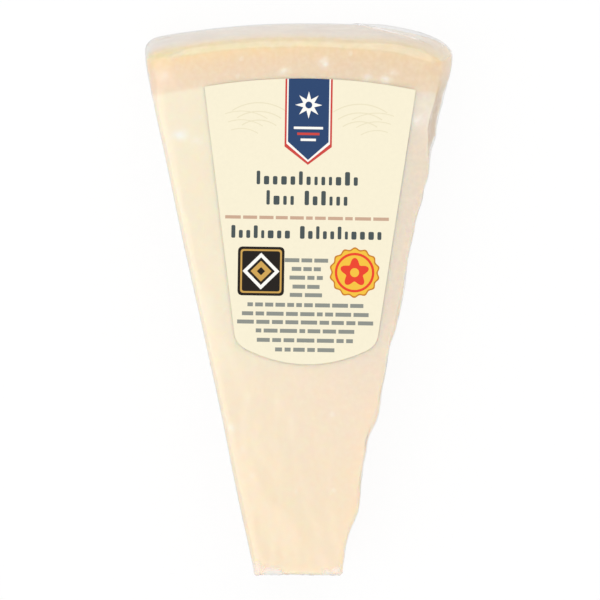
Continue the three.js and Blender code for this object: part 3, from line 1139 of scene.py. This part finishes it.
class CHEESE_OT_label(bpy.types.Operator):
    """Build the paper label with its print"""

    bl_idname = "cheese_wedge.label"
    bl_label = "Label"

    def execute(self, context):
        settings = context.scene.cheese_label
        inks = {"field": settings.field_colour, "seal": settings.seal_colour}
        inks.update({name: linear(code) for name, code in INKS.items()})
        materials = [printed_paper("coated_label_paper", settings.paper_colour)]
        materials += [printed_paper(f"{name}_offset_ink", inks[name]) for name in inks]
        number_of = {ink: number for number, ink in enumerate((None, *inks))}

        shapes = [(None, label_outline()), *print_shapes()]
        verts, triangles = cut_paper([outline for _, outline in shapes])
        upper = label_face(verts)
        lower = [p - Vector((0, 0, settings.thickness)) for p in upper]
        count = len(upper)

        # The paper's two faces, and its rim at the edges with a triangle on one side only
        ring = {}
        polygons, numbers = [], []
        for triangle, topmost in triangles:
            polygons.append(tuple(reversed(triangle)))
            numbers.append(number_of[shapes[topmost][0]])
            polygons.append(tuple(i + count for i in triangle))
            numbers.append(0)
            for a, b in zip(triangle, triangle[1:] + triangle[:1]):
                if ring.pop((b, a), None) is None:
                    ring[(a, b)] = True
        for a, b in ring:
            polygons.append((a, b, b + count, a + count))
            numbers.append(0)
        mesh = bpy.data.meshes.new("printed_label")
        mesh.from_pydata(upper + lower, [], polygons)
        for material in materials:
            mesh.materials.append(material)
        mesh.polygons.foreach_set("material_index", numbers)
        shape = bmesh.new()
        shape.from_mesh(mesh)
        loose = [v for v in shape.verts if not v.link_faces]
        bmesh.ops.delete(shape, geom=loose, context="VERTS")
        bmesh.ops.recalc_face_normals(shape, faces=shape.faces)
        shape.to_mesh(mesh)
        shape.free()
        mesh.shade_smooth()
        mesh.set_sharp_from_angle(angle=math.radians(40))
        piece = bpy.data.objects.new("printed_label", mesh)
        context.scene.collection.objects.link(piece)
        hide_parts("label")
        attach(piece, "root")
        return {"FINISHED"}


# Stage, in metres

FLOOR_REACH = 4.0
FLOOR_DROP = 0.0002
FLOOR_GLOW = 0.895
ROOM_GLOW = 0.825

# Soft square lights, each with its name, place, size and share of the key light's power
LIGHTS = [
    ("key_light", (-1.1, -0.7, 2.6), 2.3, 1.0),
    ("fill_light", (0.3, 2.0, 2.3), 2.4, 1.31),
]

# Point of the wedge's front that the camera looks at, and width of its sensor, in millimetres
TARGET = (0.53, 0.13, THICKNESS)
SENSOR_WIDTH = 36


def lit_acrylic():
    """Back-lit white acrylic, cast with a matt face: it glows evenly and still takes a faint
    shadow."""
    material, add = new_material("lit_white_acrylic")
    surface = add(
        "ShaderNodeBsdfPrincipled",
        {
            "Base Color": shade("#595959"),
            "Roughness": 1.0,
            "Specular IOR Level": 0.0,
            "Emission Color": shade("#ffffff"),
            "Emission Strength": FLOOR_GLOW,
        },
    )
    add("ShaderNodeOutputMaterial", {"Surface": surface})
    return material


class CHEESE_OT_stage(bpy.types.Operator):
    """Build the floor, the lights and the camera"""

    bl_idname = "cheese_wedge.stage"
    bl_label = "Stage"

    def execute(self, context):
        scene = context.scene
        settings = scene.cheese_stage
        mesh = bpy.data.meshes.new("floor")
        low, high = -FLOOR_REACH, FLOOR_REACH
        corners = [(low, low, 0), (high, low, 0), (high, high, 0), (low, high, 0)]
        mesh.from_pydata(corners, [], [(0, 1, 2, 3)])
        mesh.materials.append(lit_acrylic())
        floor = bpy.data.objects.new("floor", mesh)
        floor.location.z = -FLOOR_DROP
        scene.collection.objects.link(floor)

        world = bpy.data.worlds.new("soft_room")
        world.use_nodes = True
        background = world.node_tree.nodes["Background"]
        background.inputs["Color"].default_value = shade("#ffffff")
        background.inputs["Strength"].default_value = ROOM_GLOW
        scene.world = world
        for name, place, size, share in LIGHTS:
            light = bpy.data.lights.new(name, "AREA")
            light.shape = "SQUARE"
            light.size = size
            light.energy = share * settings.key_power
            lamp = bpy.data.objects.new(name, light)
            lamp.location = place
            lamp.rotation_euler = (-Vector(place)).to_track_quat("-Z", "Y").to_euler()
            scene.collection.objects.link(lamp)

        camera = bpy.data.cameras.new("camera")
        camera.sensor_width = SENSOR_WIDTH
        camera.lens = SENSOR_WIDTH * settings.distance / settings.frame_width
        camera.clip_start = 0.01
        viewpoint = bpy.data.objects.new("camera", camera)
        away = Vector((0, math.sin(settings.tilt), math.cos(settings.tilt)))
        viewpoint.location = Vector(TARGET) * MM + settings.distance * away
        viewpoint.rotation_euler = (-settings.tilt, 0, 0)
        scene.collection.objects.link(viewpoint)
        scene.camera = viewpoint
        scene.view_settings.view_transform = "Standard"
        return {"FINISHED"}


class CHEESE_PT_wedge(bpy.types.Panel):
    bl_label = "Cheese wedge"
    bl_idname = "CHEESE_PT_wedge"
    bl_space_type = "VIEW_3D"
    bl_region_type = "UI"
    bl_category = "Cheese wedge"

    def draw(self, context):
        for name, group in GROUPS.items():
            box = self.layout.box()
            settings = getattr(context.scene, f"cheese_{name}")
            for key in group.__annotations__:
                box.prop(settings, key)
            box.operator(f"cheese_wedge.{name}")


GROUPS = {
    "paste": PasteSettings,
    "film": FilmSettings,
    "label": LabelSettings,
    "stage": StageSettings,
}
CLASSES = [
    *GROUPS.values(),
    CHEESE_OT_paste,
    CHEESE_OT_film,
    CHEESE_OT_label,
    CHEESE_OT_stage,
    CHEESE_PT_wedge,
]


def register():
    for group in CLASSES:
        bpy.utils.register_class(group)
    for name, group in GROUPS.items():
        setattr(bpy.types.Scene, f"cheese_{name}", bpy.props.PointerProperty(type=group))


def unregister():
    for name in GROUPS:
        delattr(bpy.types.Scene, f"cheese_{name}")
    for group in reversed(CLASSES):
        bpy.utils.unregister_class(group)


def main():
    register()
    bpy.ops.cheese_wedge.paste()
    bpy.ops.cheese_wedge.film()
    bpy.ops.cheese_wedge.label()
    bpy.ops.cheese_wedge.stage()


if __name__ == "__main__":
    main()
